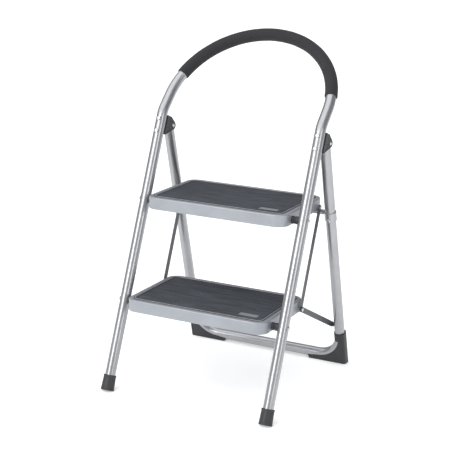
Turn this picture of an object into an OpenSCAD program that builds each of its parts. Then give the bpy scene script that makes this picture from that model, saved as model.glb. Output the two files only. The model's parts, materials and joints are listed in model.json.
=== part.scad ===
// Two-step folding stool: a bent tube front frame with a padded hoop handle,
// a rear U frame, two pressed steel treads, and flat links that fold them together.
// Origin: on the floor at the middle of the stool's footprint. +Y is towards the rear frame.
// The pieces are drawn with y = 0 at the front feet, and placed() moves them over the origin.

/* [Stance] */
// Distance between the leg centre lines
leg_spacing = 412; // [330:1:520]
// Backward lean of the front legs, in degrees
front_lean = 22; // [18:0.5:25]
// Lean of the rear legs, in degrees
rear_lean = 16.2; // [13:0.5:20]
// Height of the frame hinge above the floor
hinge_height = 592; // [520:1:720]
// How far the frame hinge sits behind the front leg centre line
hinge_offset = 39; // [38:0.5:50]

/* [Tubes] */
// Outer diameter of the frame tubes
tube_d = 25; // [20:0.5:30]
// Wall of the frame tubes
tube_wall = 1.5; // [1:0.1:2.5]

/* [Handle] */
// Extra backward bend of the handle above the hinge, in degrees
handle_bend = 23; // [10:1:32]
// Radius of that bend
handle_bend_r = 60; // [45:1:90]
// Straight run between the bend and the arch
handle_straight = 35; // [25:1:120]
// Thickness of the foam on the arch
foam_wall = 2.8; // [2:0.1:6]
// Angle above the arch's right end at which the foam starts
foam_start_right = 11; // [5:1:30]
// Angle above the arch's left end at which the foam starts
foam_start_left = 18; // [5:1:30]

/* [Treads] */
// Width of a tread
tread_w = 358; // [260:1:366]
// How far a tread runs on behind its link pivots
tread_tail = 35; // [34:1:60]
// Height of the upper tread's top
upper_top = 448; // [400:1:540]
// Height of the lower tread's top
lower_top = 222; // [180:1:250]
// Plan radius of the tread corners
tread_corner = 28; // [18:1:40]
// Depth of the tread skirt
skirt_h = 28; // [25:0.5:34]
// Sheet thickness of the treads
sheet = 1.5; // [1:0.1:2.5]
// Distance from the tread front to its front pivot
pivot_back = 48; // [38:1:60]
// Width of the rim around the mat
rim_w = 10.5; // [4:0.5:12]
// Thickness of the mat
mat_h = 3; // [2:0.1:4]

/* [Links] */
// Width of the flat links
link_w = 13; // [10:0.5:16]
// Thickness of the flat links
link_t = 2.5; // [1.5:0.1:4]
// Angle through which the treads turn as the stool folds, in degrees
tread_fold = 62; // [58:0.5:64]
// Height of the brace pivot on the rear leg
brace_foot_z = 107; // [105:1:125]

/* [Feet] */
// Length of the front foot caps along the leg
foot_len = 38; // [25:1:60]
// Height of the rear feet
rear_foot_h = 88; // [82:1:92]
// Length of the rear feet along the floor
rear_foot_len = 102; // [85:1:130]
// Thickness of the rear sole under the tube
sole_h = 4; // [3:0.5:8]
// Bend radius of the rear frame's lower corners
rear_bend_r = 64; // [45:1:70]

/* [Hidden] */
$fn = 96;

gap = 0.5;            // air between a link and what it slides past
run_fit = 0.05;       // radial play of a hole that turns on a pin
leg_x = leg_spacing / 2;
tube_r = tube_d / 2;
tread_x = tread_w / 2;
rise = tan(front_lean);

// frame hinge, as a distance up the front leg and as a place (y, z)
hinge_s = (hinge_height + hinge_offset * sin(front_lean)) / cos(front_lean);
hinge_y = hinge_s * sin(front_lean) + hinge_offset * cos(front_lean);
frame_fold = front_lean + rear_lean;

// tread pivots, both on the front leg's centre line
pivot_drop = 18;
link_drop = 2;        // the link pivots sit this much lower than the tread pivots
pivot_r = 4;
upper_z = upper_top - pivot_drop;
lower_z = lower_top - pivot_drop;
upper_y = upper_z * rise;
lower_y = lower_z * rise;

// brace foot pivot on the rear leg: down the leg from the frame hinge
brace_c = (hinge_height - brace_foot_z) / cos(rear_lean);

// Link pivot behind the tread pivot, from the two shut positions of the brace.
// Plane coordinates: x down the front leg from the hinge, y behind its centre line.
function turned(a) = [cos(a), sin(a)];
pivot_a = hinge_s - lower_z / cos(front_lean);
open_dir = 90 - front_lean;
shut_dir = open_dir - tread_fold;
open_from = [pivot_a, 0] + link_drop * [sin(open_dir), cos(open_dir)]
    - [0, hinge_offset] - brace_c * turned(frame_fold);
shut_from = [pivot_a, 0] + link_drop * [sin(shut_dir), cos(shut_dir)]
    - [0, hinge_offset] - brace_c * turned(0);
open_u = [-cos(open_dir), sin(open_dir)];
shut_u = [-cos(shut_dir), sin(shut_dir)];
link_back = (shut_from * shut_from - open_from * open_from) / (2 * (open_from * open_u - shut_from * shut_u));
upper_link = [upper_y + link_back, upper_z - link_drop];
lower_link = [lower_y + link_back, lower_z - link_drop];
brace_foot = [hinge_y + (hinge_height - brace_foot_z) * tan(rear_lean), brace_foot_z];

// side by side, from the tread outwards
tread_d = pivot_back + link_back + tread_tail;
tread_back = upper_y - pivot_back + tread_d;
link_standoff = 3.75;  // the links stand this far off the skirts
link_x = tread_x + link_standoff;
brace_x = link_x + link_t + gap;
brace_out = brace_x + link_t;
tray_lip = 6;         // width of the lip turned in at the skirt's lower edge
catch_w = 26;
rivet_head_r = 6;
rivet_head_h = 2.4;
link_head_r = 5;
link_head_h = 1.8;
link_pin_r = 3.5;
spacer_r = 9;

// hinge bracket
cheek_gap = 0.4;
cheek_t = 1.8;
cheek_in = tube_r + cheek_gap;
cheek_out = cheek_in + cheek_t;
hinge_pin_r = 3.5;
hinge_head_r = 5;
bracket_low = hinge_s - 30;
bracket_high = hinge_s + 17;
bracket_crown_r = 11;
bracket_n = 6;          // the bracket starts this far behind the leg's centre line
saddle_n = tube_r + 3;
bracket_rivet_r = 2.5;
bracket_rivet_at = [hinge_s - 26, hinge_s + 4];

// front frame
tube_end = 5;          // the tube stops this far up inside the foot cap
swell = 0.05;          // a bend is this much fuller than the straight runs that seat in it
seat = 1;
bend_run = handle_bend_r * tan(handle_bend / 2);
bend_s = hinge_s + 26;
arch_s = handle_straight + bend_run;

// rear frame, in its own plane: distances down from the frame hinge
bottom_c = (hinge_height - sole_h - tube_r) / cos(rear_lean);
rear_top = 8;
bar_r = 6;
bar_back = 4;           // the bar sits this far behind the rear legs' centre lines, clear of the links
collar_t = 2;
collar_up = 6;          // the collars reach this far above the bar's centre line
collar_down = 16;
bar_z = upper_top - skirt_h - gap - bar_r;
bar_c = (hinge_height - bar_z + bar_back * sin(rear_lean)) / cos(rear_lean);
bar_y = hinge_y + bar_c * sin(rear_lean) + bar_back * cos(rear_lean);
bar_rivet_c = bar_c + 11;

// feet
foot_wall = 2.2;
foot_r = tube_r + foot_wall;
foot_flare = 1.1;
foot_start = 1.5;      // the cap's end, square to the leg, is this far up its centre line
foot_lip = 3.5;
rear_wall = 1.8;
rear_web = tube_r + 1; // half the depth of a rear foot, front to back
rear_corner = 8;
rear_bevel = 5;
sleeve_drop = 12;      // the sleeve runs on this far past the start of the bend

// middle of the footprint, between the front of the front feet and the back of the rear feet
front_edge = (foot_r + foot_flare) * cos(front_lean) - foot_start * sin(front_lean);
rear_edge = hinge_y + hinge_height * tan(rear_lean) + rear_web / cos(rear_lean);
mid_y = (rear_edge - front_edge) / 2;

// ---------- frames of reference ----------
module placed() { translate([0, -mid_y, 0]) children(); }
// along a front leg: z runs up the leg, y behind it
module on_front() { rotate([-front_lean, 0, 0]) children(); }
// the rear frame's plane, with the frame hinge at the origin
module on_rear() { translate([0, hinge_y, hinge_height]) rotate([rear_lean, 0, 0]) children(); }
// both sides, one side being +1 for right and -1 for left
module side(s) { mirror([s > 0 ? 0 : 1, 0, 0]) children(); }
module both_sides() { for (s = [-1, 1]) side(s) children(); }

// ---------- building blocks ----------
// cylinder along x between two places
module x_rod(x0, x1, r) { translate([x0, 0, 0]) rotate([0, 90, 0]) cylinder(r = r, h = x1 - x0); }

// domed rivet head that stands out along +x from x0
module x_head(x0, r, h) {
    translate([x0, 0, 0]) rotate([0, 90, 0]) {
        cylinder(r = r, h = h * 0.4);
        translate([0, 0, h * 0.4]) cylinder(r1 = r, r2 = r * 0.62, h = h * 0.6);
    }
}

// flat plate of thickness t with a round end at p and another at q
module plate(p, rp, q, rq, t) {
    d = q - p;
    dir = atan2(d.y, d.x);
    lead = acos((rp - rq) / norm(d));
    linear_extrude(t) polygon([for (e = [[p, rp, lead], [q, rq, lead], [q, rq, -lead], [p, rp, -lead]])
        e[0] + e[1] * turned(dir + e[2])]);
    translate(p) cylinder(r = rp, h = t);
    translate(q) cylinder(r = rq, h = t);
}

// stands what is drawn in (y, z) up along +x from x0
module stand_x(x0) { translate([x0, 0, 0]) rotate([90, 0, 90]) children(); }

// edge profile of a slab with a rounded top edge: reach out, height h, edge radius e
module edge_2d(reach, h, e) {
    square([reach, h - e]);
    square([reach - e, h]);
    translate([reach - e, h - e]) circle(r = e);
}

// slab centred in x, from y = 0 back to y = d, with round corners and a rounded top edge
module slab(w, d, corner, h, e) {
    for (x = [corner - w / 2, w / 2 - corner], y = [corner, d - corner])
        translate([x, y, 0]) rotate_extrude() edge_2d(corner, h, e);
    translate([corner - w / 2, d / 2, 0]) rotate([90, 0, 90]) linear_extrude(w - 2 * corner)
        for (m = [0, 1]) mirror([m, 0]) edge_2d(d / 2, h, e);
    translate([0, d - corner, 0]) rotate([90, 0, 0]) linear_extrude(d - 2 * corner)
        for (m = [0, 1]) mirror([m, 0]) edge_2d(w / 2, h, e);
}

// plain prism with round corners
module prism(w, d, corner, h) {
    linear_extrude(h) {
        translate([-w / 2, corner]) square([w, d - 2 * corner]);
        translate([corner - w / 2, 0]) square([w - 2 * corner, d]);
        for (x = [corner - w / 2, w / 2 - corner], y = [corner, d - corner]) translate([x, y]) circle(r = corner);
    }
}

// ---------- front frame ----------
// centre line of the front frame, thickened to radius r; straight runs seat inside the fuller bends
module front_rod(r) {
    both_sides() on_front() translate([leg_x, 0, 0]) {
        cylinder(r = r, h = bend_s - bend_run + seat);
        translate([0, handle_bend_r, bend_s - bend_run]) rotate([90, 0, -90])
            rotate_extrude(angle = handle_bend) translate([handle_bend_r, 0]) circle(r = r + swell);
        translate([0, 0, bend_s]) rotate([-handle_bend, 0, 0]) translate([0, 0, bend_run - seat])
            cylinder(r = r, h = arch_s - bend_run + 2 * seat);
    }
    on_arch() rotate([90, 0, 0]) rotate_extrude(angle = 180) translate([leg_x, 0]) circle(r = r + swell);
}
module on_arch() {
    on_front() translate([0, 0, bend_s]) rotate([-handle_bend, 0, 0]) translate([0, 0, arch_s]) children();
}

module front_frame_tube() color("silver") difference() {
    front_rod(tube_r);
    front_rod(tube_r - tube_wall);
    // the legs stop inside the foot caps
    both_sides() on_front() translate([leg_x, 0, -tube_r]) cylinder(r = 2 * tube_r, h = tube_r + 2 * tube_end);
    both_sides() on_front() for (s = bracket_rivet_at)
        translate([leg_x, 0, s]) rotate([90, 0, 0]) cylinder(r = bracket_rivet_r, h = 4 * tube_r, center = true);
    for (p = [[upper_y, upper_z], [lower_y, lower_z]]) translate([0, p[0], p[1]])
        both_sides() x_rod(leg_x - 2 * tube_r, leg_x + 2 * tube_r, pivot_r);
}

module foam_grip() color("dimgray") on_arch() rotate([90, 0, 0]) difference() {
    rotate([0, 0, foam_start_right]) rotate_extrude(angle = 180 - foam_start_right - foam_start_left)
        translate([leg_x, 0]) circle(r = tube_r + foam_wall);
    rotate_extrude() translate([leg_x, 0]) circle(r = tube_r + swell);
}

module front_foot() color("dimgray") difference() {
    on_front() translate([leg_x, 0, foot_start]) difference() {
        union() {
            cylinder(r1 = foot_r + foot_flare, r2 = foot_r, h = foot_len - foot_start);
            cylinder(r = foot_r + foot_flare, h = foot_lip);
        }
        translate([0, 0, 2 * tube_end - foot_start]) cylinder(r = tube_r, h = foot_len);
    }
    // the rear half of the end is cut level, and the cap stands on it
    translate([0, -leg_x, -leg_x]) cube([2 * leg_x, 2 * leg_x, leg_x]);
}

// ---------- frame hinge ----------
module cheek(t) {
    hinge = [hinge_offset, hinge_s];
    crown = [bracket_n + 14, bracket_high - bracket_crown_r];
    tip = [bracket_n + 3, bracket_low + 3];
    plate(crown, bracket_crown_r, hinge, 10, t);
    plate(hinge, 10, tip, 3, t);
    linear_extrude(t) polygon([hinge, crown, [crown.x, bracket_high], [bracket_n, bracket_high],
        [bracket_n, tip.y], tip]);
}

module hinge_bracket() color("black") difference() {
    on_front() translate([leg_x, 0, 0]) {
        for (x = [-cheek_out, cheek_in]) stand_x(x) cheek(cheek_t);
        intersection() {
            stand_x(-cheek_in) cheek(2 * cheek_in);
            translate([-cheek_in, 0, bracket_low]) cube([2 * cheek_in, saddle_n, bracket_high - bracket_low]);
        }
    }
    on_front() translate([leg_x, 0, 0]) cylinder(r = tube_r, h = bracket_high + tube_d);
    on_front() for (s = bracket_rivet_at)
        translate([leg_x, 0, s]) rotate([90, 0, 0]) cylinder(r = bracket_rivet_r, h = 4 * tube_r, center = true);
    translate([0, hinge_y, hinge_height]) x_rod(leg_x - 2 * tube_r, leg_x + 2 * tube_r, hinge_pin_r);
}

module bracket_rivets() color("silver") both_sides() on_front() for (s = bracket_rivet_at)
    translate([leg_x, -tube_r, s]) rotate([0, 0, -90]) {
        rotate([0, 0, 180]) x_rod(-0.4, saddle_n + tube_r, bracket_rivet_r);
        x_head(0.4, 5, 1.8);
    }

module frame_hinge_pin() color("silver") translate([0, hinge_y, hinge_height]) {
    x_rod(leg_x - cheek_out, leg_x + cheek_out, hinge_pin_r);
    x_head(leg_x + cheek_out, hinge_head_r, rivet_head_h);
    translate([2 * leg_x, 0, 0]) mirror([1, 0, 0]) x_head(leg_x + cheek_out, hinge_head_r, rivet_head_h);
}

// ---------- rear frame ----------
module rear_rod(r, over) {
    both_sides() {
        translate([leg_x, 0, rear_bend_r - bottom_c]) cylinder(r = r, h = bottom_c - rear_bend_r + rear_top + over);
        translate([leg_x - rear_bend_r, 0, rear_bend_r - bottom_c]) rotate([90, 0, 0]) rotate([0, 0, -90])
            rotate_extrude(angle = 90) translate([rear_bend_r, 0]) circle(r = r);
    }
    translate([0, 0, -bottom_c]) x_rod(rear_bend_r - leg_x, leg_x - rear_bend_r, r);
}

module rear_frame_tube() color("silver") on_rear() difference() {
    rear_rod(tube_r, 0);
    rear_rod(tube_r - tube_wall, 1);
    both_sides() x_rod(leg_x - 2 * tube_r, leg_x + 2 * tube_r, hinge_pin_r + run_fit);
    both_sides() translate([leg_x, 0, -bar_rivet_c]) rotate([90, 0, 0]) cylinder(r = bracket_rivet_r, h = 2 * tube_r);
}

// rear foot seen from the front, in the rear frame's plane
module rear_foot_outline() {
    x_out = leg_x + tube_r + rear_wall;
    x_end = x_out - rear_foot_len;
    low = -bottom_c - 1.5 * tube_d;
    bend = [leg_x - rear_bend_r, rear_bend_r - bottom_c];
    toe_top = -bottom_c - 0.4 * tube_r;
    difference() {
        polygon([[x_out, low], [x_out, (rear_foot_h - hinge_height) / cos(rear_lean)],
            [leg_x, (rear_foot_h - hinge_height) / cos(rear_lean)], [leg_x, bend.y], bend,
            [bend.x, -bottom_c], [x_end, toe_top], [x_end + rear_bevel, toe_top - tube_r], [x_end + rear_bevel, low]]);
        translate(bend) circle(r = rear_bend_r);
    }
}

module rear_foot() color("dimgray") difference() {
    on_rear() difference() {
        x_round = leg_x + tube_r + rear_wall - rear_corner;
        sleeve_low = rear_bend_r - bottom_c - sleeve_drop;
        union() {
            // sleeve around the leg
            translate([leg_x, 0, sleeve_low])
                cylinder(r = tube_r + rear_wall, h = (rear_foot_h - hinge_height) / cos(rear_lean) - sleeve_low);
            // shoe that fills the corner outside the bend and runs in under the tube
            intersection() {
                translate([0, rear_web, 0]) rotate([90, 0, 0]) linear_extrude(2 * rear_web) rear_foot_outline();
                translate([0, 0, -2 * hinge_height]) union() {
                    for (y = [-1, 1]) translate([x_round, y * (rear_web - rear_corner), 0])
                        cylinder(r = rear_corner, h = 2 * hinge_height);
                    translate([0, -rear_web, 0]) cube([x_round, 2 * rear_web, 2 * hinge_height]);
                    translate([0, rear_corner - rear_web, 0])
                        cube([x_round + rear_corner, 2 * (rear_web - rear_corner), 2 * hinge_height]);
                }
            }
        }
        rear_rod(tube_r, 0);
    }
    translate([0, 0, -leg_x]) cube([2 * leg_x, 4 * leg_x, leg_x]);
}

module cross_bar() color("silver") on_rear() difference() {
    translate([0, 0, -bar_c]) union() {
        translate([0, bar_back, 0]) x_rod(tube_r / 2 - leg_x, leg_x - tube_r / 2, bar_r);
        both_sides() translate([leg_x, 0, -collar_down]) cylinder(r = tube_r + collar_t, h = collar_down + collar_up);
    }
    rear_rod(tube_r, 1);
    both_sides() translate([leg_x, 0, -bar_rivet_c]) rotate([90, 0, 0]) cylinder(r = bracket_rivet_r, h = 2 * tube_r);
}

module cross_bar_rivets() color("silver") on_rear() both_sides()
    translate([leg_x, -tube_r - collar_t, -bar_rivet_c]) rotate([0, 0, -90]) {
        rotate([0, 0, 180]) x_rod(-0.4, tube_r, bracket_rivet_r);
        x_head(0.4, 4.5, 1.8);
    }

// ---------- treads ----------
module on_tread(y, z) { translate([0, y - pivot_back, z + pivot_drop]) children(); }

module tray() {
    edge = 3;
    plate_z = -mat_h - sheet + 1;
    difference() {
        translate([0, 0, -skirt_h]) slab(tread_w, tread_d, tread_corner, skirt_h, edge);
        translate([0, sheet, sheet - skirt_h])
            prism(tread_w - 2 * sheet, tread_d - 2 * sheet, tread_corner - sheet, skirt_h - sheet + plate_z);
        translate([0, tray_lip, -2 * skirt_h])
            prism(tread_w - 2 * tray_lip, tread_d - 2 * tray_lip, tread_corner - tray_lip, 2 * skirt_h + plate_z);
        translate([0, rim_w, 1 - mat_h])
            prism(tread_w - 2 * rim_w, tread_d - 2 * rim_w, tread_corner - rim_w, mat_h);
        for (x = [0, 1]) mirror([x, 0, 0]) translate([0, pivot_back, -pivot_drop]) {
            x_rod(tread_x - rim_w, tread_x + 1, pivot_r + run_fit);
            translate([0, link_back, -link_drop]) x_rod(tread_x - rim_w, tread_x + 1, link_pin_r);
        }
    }
}

module mat() {
    play = 0.3;
    border = 5;
    in = rim_w + play;
    difference() {
        translate([0, in, 1 - mat_h])
            prism(tread_w - 2 * in, tread_d - 2 * in, tread_corner - in, mat_h);
        translate([0, in + border, 1 - 0.8])
            prism(tread_w - 2 * in - 2 * border, tread_d - 2 * in - 2 * border, tread_corner - in - border, 1);
    }
}

module label_plate() {
    w = 46;
    d = 15;
    corner = 1.5;
    from_side = 56;
    from_front = 33;
    translate([tread_x - from_side, from_front, 1 - 0.8]) prism(w, d, corner, 0.7);
}

module upper_tread_tray() color("lightsteelblue") difference() {
    on_tread(upper_y, upper_z) tray();
    // the rear lip is notched where the catches pass
    at_catches() translate([-catch_w / 2 - gap, tread_back - sheet - tray_lip, upper_top - skirt_h - 1])
        cube([catch_w + 2 * gap, tray_lip, sheet + 2]);
}
module lower_tread_tray() color("lightsteelblue") on_tread(lower_y, lower_z) tray();
module upper_tread_mat() color("darkslategray") on_tread(upper_y, upper_z) mat();
module lower_tread_mat() color("darkslategray") on_tread(lower_y, lower_z) mat();
module upper_tread_label() color("gray") on_tread(upper_y, upper_z) label_plate();
module lower_tread_label() color("gray") on_tread(lower_y, lower_z) label_plate();

module at_catches() { for (x = [-tread_w / 4, tread_w / 4]) translate([x, 0, 0]) children(); }

// hooks under the upper tread that drop behind the cross bar
module tread_catches() color("black") at_catches() translate([-catch_w / 2, 0, 0]) difference() {
    hook_drop = 2;
    head = 2 * bar_r;
    under_plate = upper_top - mat_h - sheet + 1;
    saddle = bar_r + gap;
    translate([0, bar_y - head, bar_z - hook_drop])
        cube([catch_w, tread_back - sheet - bar_y + head, under_plate - bar_z + hook_drop]);
    translate([-1, bar_y, bar_z]) rotate([0, 90, 0]) cylinder(r = saddle, h = catch_w + 2);
    translate([-1, bar_y - 2 * head, bar_z - head]) cube([catch_w + 2, 2 * head, head + saddle]);
    translate([-1, bar_y - 1, bar_z - head]) cube([catch_w + 2, saddle + 1, head]);
}

// ---------- tread pivots ----------
module pivot_rivet() color("silver") {
    x_rod(tread_x - sheet - gap, leg_x + tube_r, pivot_r);
    x_head(leg_x + tube_r, rivet_head_r, rivet_head_h);
    mirror([1, 0, 0]) x_head(gap + sheet - tread_x, rivet_head_r, rivet_head_h);
}

module spacer(y, z) color("black") difference() {
    translate([0, y, z]) x_rod(tread_x + gap, leg_x, spacer_r);
    translate([0, y, z]) x_rod(tread_x, leg_x + tube_r, pivot_r);
    on_front() translate([leg_x, 0, 0]) cylinder(r = tube_r, h = hinge_s);
}

// ---------- links and braces ----------
module tread_link() color("dimgray") difference() {
    stand_x(link_x) plate(upper_link, link_w / 2, lower_link, link_w / 2, link_t);
    for (p = [upper_link, lower_link]) translate([0, p[0], p[1]])
        x_rod(link_x - 1, link_x + link_t + 1, link_pin_r + run_fit);
}

// the inner head and the collar stand a little off the skirt, which may already curve there
module link_rivet(p, out) color("silver") translate([0, p[0], p[1]]) {
    x_rod(tread_x - sheet - gap, out + gap, link_pin_r);
    x_rod(tread_x + gap, link_x - gap, link_head_r);
    x_head(out + gap, link_head_r, link_head_h);
    mirror([1, 0, 0]) x_head(gap + sheet - tread_x, link_head_r, link_head_h);
}

module brace() color("dimgray") difference() {
    stand_x(brace_x) plate(lower_link, link_w / 2, brace_foot, link_w / 2, link_t);
    translate([0, lower_link[0], lower_link[1]]) x_rod(brace_x - 1, brace_out + 1, link_pin_r + run_fit);
    translate([0, brace_foot[0], brace_foot[1]]) x_rod(brace_x - 1, brace_out + 1, link_pin_r);
}

// The brace's foot pin stops short of the rear foot's sleeve and of the washer on the leg:
// this is the pivot that is left open.
sleeve_side = leg_x - tube_r - rear_wall;
module brace_pin() color("dimgray") translate([0, brace_foot[0], brace_foot[1]]) {
    x_rod(brace_x, sleeve_side - gap, link_pin_r);
    x_rod(brace_out, sleeve_side - gap, link_head_r);
    mirror([1, 0, 0]) x_head(-brace_x, link_head_r, link_head_h);
}

module brace_washers() color("dimgray") both_sides() difference() {
    translate([0, brace_foot[0], brace_foot[1]]) x_rod(sleeve_side, leg_x, link_head_r);
    on_rear() translate([leg_x, 0, -2 * hinge_height]) cylinder(r = tube_r, h = 2 * hinge_height);
}

placed() front_frame_tube();
placed() foam_grip();
placed() side(-1) front_foot();  // front_foot_left
placed() side(1) front_foot();  // front_foot_right
placed() side(-1) hinge_bracket();  // hinge_bracket_left
placed() side(1) hinge_bracket();  // hinge_bracket_right
placed() bracket_rivets();
placed() side(-1) frame_hinge_pin();  // frame_hinge_pin_left
placed() side(1) frame_hinge_pin();  // frame_hinge_pin_right
placed() rear_frame_tube();
placed() side(-1) rear_foot();  // rear_foot_left
placed() side(1) rear_foot();  // rear_foot_right
placed() cross_bar();
placed() cross_bar_rivets();
placed() brace_washers();
placed() upper_tread_tray();
placed() upper_tread_mat();
placed() upper_tread_label();
placed() tread_catches();
placed() lower_tread_tray();
placed() lower_tread_mat();
placed() lower_tread_label();
placed() side(-1) translate([0, upper_y, upper_z]) pivot_rivet();  // upper_pivot_rivet_left
placed() side(1) translate([0, upper_y, upper_z]) pivot_rivet();  // upper_pivot_rivet_right
placed() side(-1) translate([0, lower_y, lower_z]) pivot_rivet();  // lower_pivot_rivet_left
placed() side(1) translate([0, lower_y, lower_z]) pivot_rivet();  // lower_pivot_rivet_right
placed() side(-1) spacer(upper_y, upper_z);  // upper_spacer_left
placed() side(1) spacer(upper_y, upper_z);  // upper_spacer_right
placed() side(-1) spacer(lower_y, lower_z);  // lower_spacer_left
placed() side(1) spacer(lower_y, lower_z);  // lower_spacer_right
placed() side(-1) tread_link();  // tread_link_left
placed() side(1) tread_link();  // tread_link_right
placed() side(-1) link_rivet(upper_link, link_x + link_t);  // link_rivet_upper_left
placed() side(1) link_rivet(upper_link, link_x + link_t);  // link_rivet_upper_right
placed() side(-1) link_rivet(lower_link, brace_out);  // link_rivet_lower_left
placed() side(1) link_rivet(lower_link, brace_out);  // link_rivet_lower_right
placed() side(-1) brace();  // brace_left
placed() side(1) brace();  // brace_right
placed() side(-1) brace_pin();  // brace_pin_left
placed() side(1) brace_pin();  // brace_pin_right
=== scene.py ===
import json
import math

import bmesh
import bpy
from mathutils import Matrix, Vector, noise


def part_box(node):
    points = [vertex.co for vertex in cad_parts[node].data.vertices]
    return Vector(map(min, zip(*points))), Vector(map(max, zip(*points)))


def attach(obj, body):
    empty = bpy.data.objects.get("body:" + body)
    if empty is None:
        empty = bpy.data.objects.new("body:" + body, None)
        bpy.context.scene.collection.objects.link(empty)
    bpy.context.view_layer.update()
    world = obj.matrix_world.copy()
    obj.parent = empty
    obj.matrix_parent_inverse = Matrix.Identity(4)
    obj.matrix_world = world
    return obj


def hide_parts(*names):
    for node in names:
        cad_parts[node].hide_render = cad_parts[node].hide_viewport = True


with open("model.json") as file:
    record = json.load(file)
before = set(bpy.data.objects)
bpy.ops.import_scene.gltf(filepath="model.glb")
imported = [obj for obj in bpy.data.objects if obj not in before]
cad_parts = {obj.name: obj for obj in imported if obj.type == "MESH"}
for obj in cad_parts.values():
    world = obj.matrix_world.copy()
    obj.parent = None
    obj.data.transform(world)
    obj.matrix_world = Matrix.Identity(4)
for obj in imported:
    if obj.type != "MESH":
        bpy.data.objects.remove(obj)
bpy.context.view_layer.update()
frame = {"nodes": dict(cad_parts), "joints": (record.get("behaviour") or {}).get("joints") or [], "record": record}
nodes = frame["nodes"]
scene = bpy.context.scene

# ---------- Camera ----------
# A long lens a little above the handle, to the right of the stool's front, tipped by a degree.
azimuth, elevation, roll = math.radians(26.077), math.radians(14.864), math.radians(1.349)
camera_place = (1.2891, -2.5795, 1.1449)
across = Vector((math.cos(azimuth), math.sin(azimuth), 0))
ahead = Vector((-math.sin(azimuth) * math.cos(elevation), math.cos(azimuth) * math.cos(elevation),
                -math.sin(elevation)))
upward = across.cross(ahead)
right = math.cos(roll) * across + math.sin(roll) * upward
top = math.cos(roll) * upward - math.sin(roll) * across
lens = bpy.data.cameras.new("camera")
lens.lens, lens.sensor_width = 98.75, 36
lens.shift_x, lens.shift_y = -0.0262, -0.0093
lens.clip_end = 60
camera = bpy.data.objects.new("camera", lens)
scene.collection.objects.link(camera)
camera.matrix_world = Matrix.Translation(camera_place) @ Matrix((right, top, -ahead)).transposed().to_4x4()
scene.camera = camera

# ---------- Studio ----------
# A white sweep lit from above and all round, with a large soft box each side of the camera.
scene.view_settings.view_transform = "Standard"


def srgb(chip):
    """A colour chip's hex value as the linear colour that a shader takes."""
    channels = [int(chip[i:i + 2], 16) / 255 for i in (0, 2, 4)]
    return [c / 12.92 if c <= 0.04045 else ((c + 0.055) / 1.055) ** 2.4 for c in channels] + [1.0]


def add(tree, kind, values=None, links=None, **settings):
    """Adds a node: values and links go to its inputs by name or number, settings to the node itself."""
    node = tree.nodes.new(kind)
    for name, setting in settings.items():
        setattr(node, name, setting)
    for key, value in (values or {}).items():
        node.inputs[key].default_value = value
    for key, source in (links or {}).items():
        tree.links.new(source, node.inputs[key])
    return node


def new_material(name):
    """An empty material, its tree, and the piece's own coordinates to lay textures out by."""
    material = bpy.data.materials.new(name)
    material.use_nodes = True
    tree = material.node_tree
    tree.nodes.clear()
    return material, tree, add(tree, "ShaderNodeTexCoord").outputs["Object"]


def cloudy(tree, place, scale, detail, **more):
    """A noise texture's value. Its features are about 1 / scale metres across."""
    texture = add(tree, "ShaderNodeTexNoise", {"Scale": scale, "Detail": detail, **more}, {"Vector": place})
    return texture.outputs["Fac"]


def blend(tree, value, dark, light, start=0.0, stop=1.0):
    """A colour that runs from the dark chip to the light one as value goes from start to stop."""
    colours = add(tree, "ShaderNodeValToRGB", links={"Fac": value})
    colours.color_ramp.elements[0].position, colours.color_ramp.elements[0].color = start, srgb(dark)
    colours.color_ramp.elements[1].position, colours.color_ramp.elements[1].color = stop, srgb(light)
    return colours.outputs["Color"]


def between(tree, value, low, high):
    """A number that follows value, from low to high."""
    return add(tree, "ShaderNodeMapRange", {"To Min": low, "To Max": high}, {"Value": value}).outputs[0]


def relief(tree, height, strength, depth):
    """The normals of a surface that height roughens."""
    bump = add(tree, "ShaderNodeBump", {"Strength": strength, "Distance": depth}, {"Height": height})
    return bump.outputs[0]


def coat(tree, values, links):
    """The material's surface."""
    surface = add(tree, "ShaderNodeBsdfPrincipled", values, links)
    add(tree, "ShaderNodeOutputMaterial", links={"Surface": surface.outputs[0]})


middle = Vector((0, 0, 0.42))


def lamp(name, kind, place, power, **settings):
    """A light aimed at the stool's middle."""
    light = bpy.data.lights.new(name, kind)
    light.energy = power
    for setting, value in settings.items():
        setattr(light, setting, value)
    holder = bpy.data.objects.new(name, light)
    scene.collection.objects.link(holder)
    holder.location = place
    holder.rotation_euler = (middle - Vector(place)).to_track_quat("-Z", "Y").to_euler()


lamp("overhead", "SUN", (-1.0, -1.6, 4.0), 2.45, angle=math.radians(90))
lamp("soft_box_left", "AREA", (-0.9, -3.2, 1.9), 40, shape="RECTANGLE", size=1.3, size_y=1.9)
lamp("soft_box_right", "AREA", (2.6, -1.5, 1.35), 20, shape="RECTANGLE", size=1.0, size_y=1.8)
scene.world = bpy.data.worlds.new("studio")
scene.world.use_nodes = True
tree = scene.world.node_tree
tree.nodes.clear()
ray = add(tree, "ShaderNodeLightPath")
room = add(tree, "ShaderNodeBackground", {"Color": srgb("FBFCFF"), "Strength": 0.32})
paper = add(tree, "ShaderNodeBackground", {"Color": srgb("FFFFFF"), "Strength": 1.0})
seen = add(tree, "ShaderNodeMixShader",
           links={0: ray.outputs["Is Camera Ray"], 1: room.outputs[0], 2: paper.outputs[0]})
add(tree, "ShaderNodeOutputWorld", links={"Surface": seen.outputs[0]})

sweep_paint, tree, place = new_material("matt_white_sweep")
mottle = cloudy(tree, place, 0.4, 2)
coat(tree, {"Roughness": 0.8, "Specular IOR Level": 0.2,
            "Emission Color": srgb("FFFFFF"), "Emission Strength": 0.34},
     {"Base Color": blend(tree, mottle, "F4F4F4", "F8F8F8")})
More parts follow.
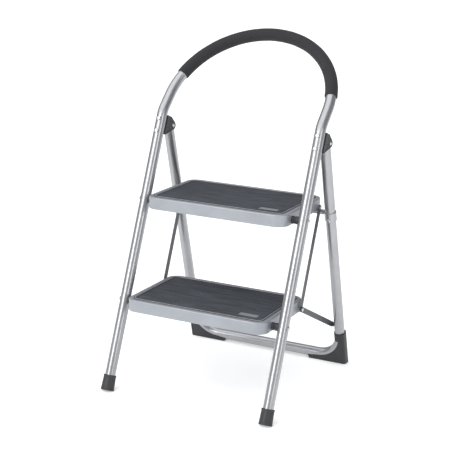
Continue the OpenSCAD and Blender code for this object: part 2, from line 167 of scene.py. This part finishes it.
# it lies a hair below the feet
bpy.ops.mesh.primitive_plane_add(size=60, location=(0, 0, -0.0002))
sweep = bpy.context.object
sweep.name = "floor"
sweep.data.materials.append(sweep_paint)

# ---------- Frame tubes ----------
# Welded steel tube of 25 mm, bent cold, with a silver polyester powder coat: aluminium flake under
# a clear binder, so it has a satin highlight, a fine orange peel and faint sparkle.
MM = 0.001
silver_coat, tree, place = new_material("silver_powder_coat")
flake = cloudy(tree, place, 1 / (0.9 * MM), 2)
film = cloudy(tree, place, 1 / (45 * MM), 3)
tone = add(tree, "ShaderNodeMix", {"Factor": 0.35}, {2: flake, 3: film}, data_type="FLOAT").outputs[0]
peel = cloudy(tree, place, 1 / (2.2 * MM), 1)
coat(tree, {"Metallic": 0.85}, {"Base Color": blend(tree, tone, "98999C", "B0B1B4", 0.3, 0.7),
                                "Roughness": between(tree, film, 0.28, 0.34),
                                "Normal": relief(tree, peel, 0.03, 0.05 * MM)})


def dress(material, *names):
    """Gives CAD pieces their finish."""
    for name in names:
        nodes[name].data.materials.clear()
        nodes[name].data.materials.append(material)


dress(silver_coat, "front_frame_tube", "rear_frame_tube", "cross_bar")

# ---------- Foam grip ----------
# A sleeve of black closed-cell foam pushed over the hoop while it is wet. It is matt, finely pored,
# a little uneven in thickness, and its cut ends are soft.
grip_paint, tree, place = new_material("black_nitrile_foam")
pores = add(tree, "ShaderNodeTexVoronoi", {"Scale": 1 / (1.1 * MM)}, {"Vector": place})
cloud = cloudy(tree, place, 1 / (18 * MM), 4)
height = add(tree, "ShaderNodeMix", {"Factor": 0.4}, {2: pores.outputs["Distance"], 3: cloud},
             data_type="FLOAT")
coat(tree, {"Roughness": 0.82, "Specular IOR Level": 0.35, "Sheen Weight": 0.06, "Sheen Roughness": 0.5},
     {"Base Color": blend(tree, cloud, "252528", "2A2A2E", 0.3, 0.8),
      "Normal": relief(tree, height.outputs[0], 0.35, 0.3 * MM)})


def skin(name, rings, material, body, closed=False, sharp=40):
    """A shell over a run of rings. Its ends are capped, or joined to each other when it is closed."""
    shell = bmesh.new()
    loops = [[shell.verts.new(point) for point in ring] for ring in rings]
    for near, far in zip(loops, loops[1:] + (loops[:1] if closed else [])):
        for i, vert in enumerate(near):
            shell.faces.new((vert, near[i - 1], far[i - 1], far[i]))
    if not closed:
        shell.faces.new(loops[0])
        shell.faces.new(loops[-1])
    bmesh.ops.recalc_face_normals(shell, faces=shell.faces)
    mesh = bpy.data.meshes.new(name)
    shell.to_mesh(mesh)
    shell.free()
    mesh.polygons.foreach_set("use_smooth", [True] * len(mesh.polygons))
    mesh.set_sharp_from_angle(angle=math.radians(sharp))
    mesh.materials.append(material)
    piece = bpy.data.objects.new(name, mesh)
    scene.collection.objects.link(piece)
    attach(piece, body)
    return piece


TUBE_R = 12.5 * MM
LEG_X = 206 * MM
foam_r = 15.3 * MM
foam_bore = TUBE_R + 0.15 * MM
foam_from, foam_to = math.radians(11), math.radians(162)
end_round = 2.2 * MM
lump_depth, lump_rate = 0.25 * MM, 38
around, outer_steps, bore_steps = 56, 170, 60
hoop_lean = math.radians(45)
hoop_rise = Vector((0, math.sin(hoop_lean), math.cos(hoop_lean)))
hoop_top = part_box("foam_grip")[1]
hoop_middle = Vector((0, hoop_top.y, hoop_top.z)) - Vector((0, foam_r, foam_r)) - LEG_X * hoop_rise
# the sleeve's outline along the hoop: how far from its end, and how thick
edge = [(0, foam_bore), (0, foam_r - end_round)]
edge += [(end_round * (1 - math.cos(a)), foam_r - end_round * (1 - math.sin(a)))
         for a in (math.radians(d) for d in (18, 36, 54, 72, 90))]
span = LEG_X * (foam_to - foam_from)
flat = span - 2 * end_round
outline = edge + [(end_round + flat * i / outer_steps, foam_r) for i in range(1, outer_steps)]
outline += [(span - d, r) for d, r in reversed(edge)]
outline += [(span * (1 - i / bore_steps), foam_bore) for i in range(1, bore_steps)]
sideways = Vector((1, 0, 0)).cross(hoop_rise).normalized()
rings = []
for along, thick in outline:
    turn = foam_from + along / LEG_X
    outwards = Vector((math.cos(turn), 0, 0)) + math.sin(turn) * hoop_rise
    centre = hoop_middle + LEG_X * outwards
    ring = []
    for k in range(around):
        a = math.tau * k / around
        facing = math.cos(a) * outwards + math.sin(a) * sideways
        lump = 0.0
        if thick > foam_r - end_round / 2:
            lump = lump_depth * (noise.noise((centre + facing * thick) * lump_rate) - 0.6)
        ring.append(centre + facing * (thick + lump))
    rings.append(ring)
grip = skin("foam_sleeve", rings, grip_paint, "front_frame", closed=True)
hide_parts("foam_grip")

# ---------- Front foot caps ----------
# Black moulded caps of soft plastic, pushed onto the legs. Each flares towards the floor, with a
# proud collar at its mouth, a bead low down and a lip round the sole, which is worn level behind.
cap_plastic, tree, place = new_material("black_moulded_pvc")
grain = cloudy(tree, place, 1 / (0.8 * MM), 3)
scuff = cloudy(tree, place, 1 / (14 * MM), 5, Roughness=0.65)
coat(tree, {"IOR": 1.5}, {"Base Color": blend(tree, scuff, "242528", "2E2F32", 0.35, 0.75),
                          "Roughness": between(tree, scuff, 0.42, 0.58),
                          "Normal": relief(tree, grain, 0.25, 0.08 * MM)})

joint_at = {j["name"]: Vector(j["pos_m"]) for j in frame["joints"]}
leg_lean = math.radians(22)
leg_up = Vector((0, math.sin(leg_lean), math.cos(leg_lean)))
leg_back = Vector((0, math.cos(leg_lean), -math.sin(leg_lean)))
upper_pivot = joint_at["upper_tread_fold"]
leg_foot = Vector((0, upper_pivot.y - upper_pivot.z * math.tan(leg_lean), 0))


def metres(rows):
    """An outline given in millimetres."""
    return [(along * MM, radius * MM) for along, radius in rows]


def turned(name, start, axis, profile, material, body, around=48, level=None, sharp=35):
    """A round piece turned about axis from start. The profile holds distances along it and radii."""
    axis = Vector(axis).normalized()
    one = axis.orthogonal().normalized()
    other = axis.cross(one)
    turns = [math.tau * k / around for k in range(around)]
    rings = [[Vector(start) + axis * along + radius * (math.cos(turn) * one + math.sin(turn) * other)
              for turn in turns] for along, radius in profile]
    if level is not None:
        for ring in rings:
            for point in ring:
                point.z = max(point.z, level)
    return skin(name, rings, material, body, sharp=sharp)


sole = [(1.5, 2), (1.5, 9), (1.5, 15.2), (1.8, 15.8), (2.4, 16.1), (4.4, 16.1), (5.0, 15.8), (5.3, 15.5)]
low_bead = [(6.6, 15.5), (6.9, 15.7), (7.4, 15.9), (7.9, 15.7), (8.2, 15.45)]
wall = [(14, 15.3), (20, 15.15), (26, 15.0), (33.0, 14.8)]
mouth = [(33.3, 15.0), (33.8, 15.3), (37.0, 15.3), (37.7, 15.1), (38.0, 14.7), (38.0, 13.4), (37.6, 12.9)]
socket = [(36.5, 12.55), (30, 12.55), (20, 12.52)]
cap_outline = metres(sole + low_bead + wall + mouth + socket)
for hand, x in (("left", -LEG_X), ("right", LEG_X)):
    cap = turned(f"front_cap_{hand}", (x, leg_foot.y, 0), leg_up, cap_outline,
                 cap_plastic, "front_frame", around=72, level=0.0)
    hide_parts(f"front_foot_{hand}")

# ---------- Rivets and pins ----------
# Zinc-plated steel rivets, closed cold. The treads' pivots and the hinge pins have low domed heads.
# The bracket and collar rivets are drawn up tight, so their heads have steep sides and a flat crown.
zinc, tree, place = new_material("bright_zinc_plate")
spangle = cloudy(tree, place, 1 / (2.5 * MM), 4)
coat(tree, {"Metallic": 1.0}, {"Base Color": blend(tree, spangle, "A9ABAE", "D9DADC"),
                               "Roughness": between(tree, spangle, 0.18, 0.38)})


def dome(start, height, radius):
    """A rivet head's outline from its crown at start to its flat underside."""
    sign = 1 if height > 0 else -1
    crown = [(start + height * (1 - math.cos(math.radians(a))), radius * math.sin(math.radians(a)) * 0.94)
             for a in (4, 14, 26, 38, 50, 62, 74, 84)]
    return crown + [(start + height - sign * 0.25 * MM, radius), (start + height, radius)]


head_h = 2.4 * MM
for name, shaft_r, head_r in (("upper_pivot_rivet", 4.0 * MM, 6.0 * MM),
                              ("lower_pivot_rivet", 4.0 * MM, 6.0 * MM),
                              ("frame_hinge_pin", 3.5 * MM, 5.0 * MM)):
    for hand in ("left", "right"):
        low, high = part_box(f"{name}_{hand}")
        centre = (low + high) / 2
        length = high.x - low.x
        profile = dome(0, head_h, head_r) + [(head_h, shaft_r), (length - head_h, shaft_r)]
        profile += reversed(dome(length, -head_h, head_r))
        rivet = turned(f"{name}_domed_{hand}", (low.x, centre.y, centre.z), (1, 0, 0), profile,
                       zinc, "front_frame", around=40)
        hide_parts(f"{name}_{hand}")

button = [(0.0, 0.2), (0.0, 2.6), (0.25, 3.9), (0.7, 4.7), (1.2, 5.0), (2.3, 5.05), (2.5, 4.7), (2.5, 2.45)]
bracket_shank = [(27.0, 2.45), (27.2, 2.0)]
collar_shank = [(14, 2.45)]
hinge = joint_at["rear_frame_fold"]
hinge_up = (hinge - leg_foot).dot(leg_up)
hinge_back = (hinge - leg_foot).dot(leg_back)
heads = [leg_foot + leg_up * (hinge_up + up * MM) - leg_back * (TUBE_R + 2.5 * MM) for up in (-26, 4)]
for hand, x in (("left", -LEG_X), ("right", LEG_X)):
    for i, head in enumerate(heads):
        rivet = turned(f"bracket_rivet_{hand}_{i + 1}", (x, head.y, head.z), leg_back,
                       metres(button + bracket_shank), zinc, "front_frame", around=32)
        if hand == "left" and i == 0:
            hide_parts("bracket_rivets")

rear_lean = math.radians(16.2)
rear_forward = Vector((0, -math.cos(rear_lean), -math.sin(rear_lean)))
crown_reach = 7.6 * MM
low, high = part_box("cross_bar_rivets")
for hand, x in (("left", -LEG_X), ("right", LEG_X)):
    crown = Vector((x, (low.y + high.y) / 2, (low.z + high.z) / 2)) + rear_forward * crown_reach
    rivet = turned(f"collar_rivet_{hand}", crown, -rear_forward, metres(button + collar_shank),
                   zinc, "rear_frame", around=32)
    if hand == "left":
        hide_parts("cross_bar_rivets")
dress(zinc, *(f"link_rivet_{level}_{hand}" for level in ("upper", "lower") for hand in ("left", "right")))

# ---------- Hinge brackets ----------
# Moulded in the same black plastic: two cheeks and a saddle against the leg, stiffened by a rim
# round the rear and lower edges and ribs that fan out from the pivot.
dress(cap_plastic, "hinge_bracket_left", "hinge_bracket_right")


def arc(centre, radius, start, stop, count):
    """Points of an arc in the bracket's plane: n behind the leg, s up it, in metres."""
    turns = [math.radians(start + (stop - start) * i / count) for i in range(count + 1)]
    return [(centre[0] + radius * math.cos(turn), centre[1] + radius * math.sin(turn)) for turn in turns]


bead_section = ((-0.5, -0.15), (-0.5, 0.45), (-0.3, 0.9), (0, 1.0), (0.3, 0.9), (0.5, 0.45), (0.5, -0.15))


def bead(name, line, wide, proud, face_x, outward):
    """A raised bead along a line on a bracket's flat side at x = face_x, standing proud towards outward."""
    points = [Vector((0, n, s)) for n, s in line]
    rings = []
    for i, point in enumerate(points):
        run = (points[min(i + 1, len(points) - 1)] - points[max(i - 1, 0)]).normalized()
        flank = Vector((0, -run.z, run.y))
        ring = []
        for across, up in bead_section:
            at = point + flank * across * wide
            spot = leg_foot + leg_back * at.y + leg_up * at.z
            ring.append(Vector((face_x + outward * up * proud, spot.y, spot.z)))
        rings.append(ring)
    return skin(name, rings, cap_plastic, "front_frame", sharp=50)


crown = (20 * MM, hinge_up + 6 * MM)
tip = (9 * MM, hinge_up - 27 * MM)
knee = (hinge_back, hinge_up)
rim = arc(crown, 10 * MM, 100, 35, 8) + arc(knee, 9 * MM, 30, -50, 8) + arc(tip, 2 * MM, -50, -90, 3)
rib_start = 7.5 * MM
ribs = []
for degrees, reach in ((-18, 27 * MM), (4, 30 * MM), (24, 30 * MM), (42, 33 * MM)):
    a = math.radians(degrees)
    ribs.append([(knee[0] - r * math.cos(a), knee[1] - r * math.sin(a)) for r in (rib_start, reach)])
for hand in ("left", "right"):
    low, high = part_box(f"hinge_bracket_{hand}")
    for face, face_x, outward in (("a", low.x, -1), ("b", high.x, 1)):
        bead(f"bracket_rim_{hand}_{face}", rim, 2.0 * MM, 0.9 * MM, face_x, outward)
        for i, line in enumerate(ribs):
            bead(f"bracket_rib_{hand}_{face}{i + 1}", line, 1.4 * MM, 0.7 * MM, face_x, outward)

# ---------- Spacers ----------
# Stepped bushes of the same black plastic between each tread and its legs. The outer end is scooped
# to sit against the round leg.
bush = [(0.0, 4.2), (0.0, 8.3), (0.5, 9.0), (3.6, 9.0), (4.2, 8.6), (4.6, 7.9), (5.6, 7.7), (6.6, 7.9),
        (7.2, 8.7), (7.8, 9.0), (20, 9.0), (20, 4.2)]
bush_sides = 48
seat_r = TUBE_R - 0.1 * MM
for level in ("upper", "lower"):
    pivot = joint_at[f"{level}_tread_fold"]
    for hand, sign in (("left", -1), ("right", 1)):
        low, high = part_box(f"{level}_spacer_{hand}")
        inner = min(abs(low.x), abs(high.x))
        rings = []
        for along, radius in bush:
            ring = []
            for k in range(bush_sides):
                a = math.tau * k / bush_sides
                offset = radius * MM * Vector((0, math.cos(a), math.sin(a)))
                seat = LEG_X - math.sqrt(seat_r ** 2 - offset.dot(leg_back) ** 2)
                ring.append(Vector((sign * min(inner + along * MM, seat), pivot.y, pivot.z)) + offset)
            rings.append(ring)
        spacer = skin(f"{level}_bush_{hand}", rings, cap_plastic, "front_frame", closed=True)
        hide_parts(f"{level}_spacer_{hand}")

# ---------- Rear feet and catches ----------
# Also black plastic mouldings: a shoe filled out round each bend of the rear frame, and the hooks
# under the upper tread that close over the cross bar.
body_of_node = {n: b for b, members in frame["record"]["behaviour"]["bodies"].items() for n in members}


def softened(node, name, material, radius):
    """A copy of a CAD piece with its sharp edges eased by radius, as a moulding's are."""
    shape = bmesh.new()
    shape.from_mesh(nodes[node].data)
    bmesh.ops.remove_doubles(shape, verts=shape.verts, dist=0.01 * MM)
    bmesh.ops.dissolve_limit(shape, angle_limit=math.radians(1), verts=shape.verts, edges=shape.edges)
    mesh = bpy.data.meshes.new(name)
    shape.to_mesh(mesh)
    shape.free()
    blank = bpy.data.objects.new(name, mesh)
    scene.collection.objects.link(blank)
    ease = blank.modifiers.new("ease", "BEVEL")
    ease.width, ease.segments = radius, 3
    ease.limit_method, ease.angle_limit = "ANGLE", math.radians(40)
    ease.use_clamp_overlap = True
    eased = bpy.data.meshes.new_from_object(blank.evaluated_get(bpy.context.evaluated_depsgraph_get()))
    bpy.data.objects.remove(blank)
    eased.name = name
    eased.polygons.foreach_set("use_smooth", [True] * len(eased.polygons))
    eased.set_sharp_from_angle(angle=math.radians(50))
    eased.materials.clear()
    eased.materials.append(material)
    piece = bpy.data.objects.new(name, eased)
    scene.collection.objects.link(piece)
    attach(piece, body_of_node[node])
    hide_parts(node)


for hand in ("left", "right"):
    softened(f"rear_foot_{hand}", f"rear_shoe_{hand}", cap_plastic, 1.0 * MM)
softened("tread_catches", "catch_hooks", cap_plastic, 0.8 * MM)

# ---------- Treads ----------
# Pressed steel trays with a rolled edge and a deep skirt, in a blue-grey powder coat that has no flake.
tray_coat, tree, place = new_material("blue_grey_powder_coat")
film = cloudy(tree, place, 1 / (60 * MM), 4)
peel = cloudy(tree, place, 1 / (2.5 * MM), 1)
coat(tree, {"Metallic": 0.35}, {"Base Color": blend(tree, film, "8F9399", "9A9EA4", 0.3, 0.75),
                                "Roughness": between(tree, film, 0.34, 0.44),
                                "Normal": relief(tree, peel, 0.10, 0.05 * MM)})
dress(tray_coat, "upper_tread_tray", "lower_tread_tray")

# ---------- Tread mats ----------
# Moulded black rubber mats let into the trays: a plain border with a raised bead inside it, its light grey
# a painted highlight, and shallow ribs across the tread that keep a shoe from sliding forwards.
mat_rubber, tree, place = new_material("moulded_epdm_rubber")
stretch = add(tree, "ShaderNodeMapping", {"Scale": (4, 46, 46)}, {"Vector": place})
streak = cloudy(tree, stretch.outputs[0], 3.0, 5, Roughness=0.6)
dust = cloudy(tree, place, 1 / (1.5 * MM), 3)
coat(tree, {"IOR": 1.5}, {"Base Color": blend(tree, streak, "1C1F25", "3D424B", 0.36, 0.66),
                          "Roughness": between(tree, streak, 0.5, 0.72),
                          "Normal": relief(tree, dust, 0.2, 0.1 * MM)})

# painted highlight: this light grey stands in for the light that the mat's rounded rubber bead catches
bead_highlight_paint, tree, place = new_material("rubber_bead_painted_highlight")
highlight_mottle = cloudy(tree, place, 1 / (20 * MM), 4)
coat(tree, {"Roughness": 0.35}, {"Base Color": blend(tree, highlight_mottle, "85878A", "9EA0A2", 0.35, 0.65)})


def rounded(low, high, inset, z, corner, steps=10):
    """The outline of a rounded rectangle, set in from a box's sides, at height z."""
    r = max(corner - inset, 0.5 * MM)
    points = []
    for i, (x, y) in enumerate(((high.x, high.y), (low.x, high.y), (low.x, low.y), (high.x, low.y))):
        cx = x + (r + inset) * (-1 if x == high.x else 1)
        cy = y + (r + inset) * (-1 if y == high.y else 1)
        for k in range(steps + 1):
            a = math.radians(90 * i + 90 * k / steps)
            points.append(Vector((cx + r * math.cos(a), cy + r * math.sin(a), z)))
    return points


rib_tree = bpy.data.node_groups.new("tread_ribs", "GeometryNodeTree")
for socket, kind in (("Rib", "NodeSocketGeometry"), ("Count", "NodeSocketInt"), ("Pitch", "NodeSocketFloat"),
                     ("Start", "NodeSocketVector"), ("Rubber", "NodeSocketMaterial")):
    rib_tree.interface.new_socket(socket, in_out="INPUT", socket_type=kind)
rib_tree.interface.new_socket("Ribs", in_out="OUTPUT", socket_type="NodeSocketGeometry")
given = add(rib_tree, "NodeGroupInput").outputs
step = add(rib_tree, "ShaderNodeCombineXYZ", links={"Y": given["Pitch"]})
row = add(rib_tree, "GeometryNodeMeshLine",
          links={"Count": given["Count"], "Start Location": given["Start"], "Offset": step.outputs[0]})
copies = add(rib_tree, "GeometryNodeInstanceOnPoints",
             links={"Points": row.outputs[0], "Instance": given["Rib"]})
solid = add(rib_tree, "GeometryNodeRealizeInstances", links={0: copies.outputs[0]})
dressed = add(rib_tree, "GeometryNodeSetMaterial",
              links={"Geometry": solid.outputs[0], "Material": given["Rubber"]})
add(rib_tree, "NodeGroupOutput", links={0: dressed.outputs[0]})

mat_corner = 17.2 * MM
border = 6 * MM
field_drop = 1.3 * MM
rib_pitch = 3.6 * MM
rib_section = [(-1.35, 0), (-1.1, 0.55), (-0.7, 0.9), (0, 1.0), (0.7, 0.9), (1.1, 0.55), (1.35, 0)]
rib_end = [(0, 0.1), (0.4 * MM, 0.75), (1.2 * MM, 1)]
for level in ("upper", "lower"):
    low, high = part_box(f"{level}_tread_mat")
    crest = high.z
    stack = [(3, low.z), (0, low.z + 0.2 * MM), (0, crest - 0.9 * MM), (0.25, crest - 0.3 * MM), (0.8, crest),
             (2.0, crest), (2.5, crest - 0.7 * MM), (4.4, crest - 0.8 * MM), (5.2, crest - field_drop)]
    mat = skin(f"{level}_mat_base", [rounded(low, high, i * MM, z, mat_corner) for i, z in stack],
               mat_rubber, f"{level}_tread", sharp=50)
    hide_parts(f"{level}_tread_mat")

    # the bead stands a little above the border; its light grey colour is a painted highlight along it
    highlight_bead_rows = [(2.35, -0.9), (2.4, -0.1), (2.75, 0.35), (3.45, 0.5), (4.15, 0.35), (4.5, -0.1), (4.55, -0.9)]
    skin(f"{level}_mat_highlight_bead", [rounded(low, high, i * MM, crest + up * MM, mat_corner) for i, up in highlight_bead_rows],
         bead_highlight_paint, f"{level}_tread", closed=True, sharp=60)

    # one rib, then its copies from the tread's front to its back
    half_length = (high.x - low.x) / 2 - border - 2.5 * MM
    ends = [(-half_length + d, share) for d, share in rib_end]
    ends += [(half_length - d, share) for d, share in reversed(rib_end)]
    rib = skin("rib", [[Vector((x, y * MM, z * share * MM)) for y, z in rib_section] for x, share in ends],
               mat_rubber, f"{level}_tread", sharp=60)
    count = int((high.y - low.y - 2 * (border + 4 * MM)) / rib_pitch) + 1
    start = Vector(((low.x + high.x) / 2, (low.y + high.y) / 2 - (count - 1) * rib_pitch / 2,
                    crest - field_drop - 0.05 * MM))
    maker = rib.modifiers.new("ribs", "NODES")
    maker.node_group = rib_tree
    for socket, value in (("Count", count), ("Pitch", rib_pitch), ("Start", start), ("Rubber", mat_rubber)):
        maker[rib_tree.interface.items_tree[socket].identifier] = value
    rib.update_tag()
    bpy.context.view_layer.update()
    ribbed = bpy.data.meshes.new_from_object(rib.evaluated_get(bpy.context.evaluated_depsgraph_get()))
    bpy.data.objects.remove(rib)
    ribbed.name = f"{level}_mat_ribs"
    ribs = bpy.data.objects.new(f"{level}_mat_ribs", ribbed)
    scene.collection.objects.link(ribs)
    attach(ribs, f"{level}_tread")

# ---------- Label plates ----------
# A thin aluminium plate stuck near the front corner of each mat, left blank.
plate_metal, tree, place = new_material("satin_aluminium_plate")
stretch = add(tree, "ShaderNodeMapping", {"Scale": (20, 900, 900)}, {"Vector": place})
brush = cloudy(tree, stretch.outputs[0], 1.0, 3)
coat(tree, {"Metallic": 0.3, "Roughness": 0.5}, {"Base Color": blend(tree, brush, "7D8083", "969A9D")})
dress(plate_metal, "upper_tread_label", "lower_tread_label")

# ---------- Links and braces ----------
# Flat steel strip with full-round ends, in a dark grey satin coat. The braces' foot pins and the
# washers on the rear legs have the same coat.
strip_coat, tree, place = new_material("dark_grey_satin_coat")
film = cloudy(tree, place, 1 / (25 * MM), 5)
coat(tree, {"Metallic": 0.4}, {"Base Color": blend(tree, film, "45464A", "56585C", 0.3, 0.75),
                               "Roughness": between(tree, film, 0.36, 0.5)})
dress(strip_coat, "brace_washers", *(f"{name}_{hand}" for name in ("tread_link", "brace", "brace_pin")
                                     for hand in ("left", "right")))
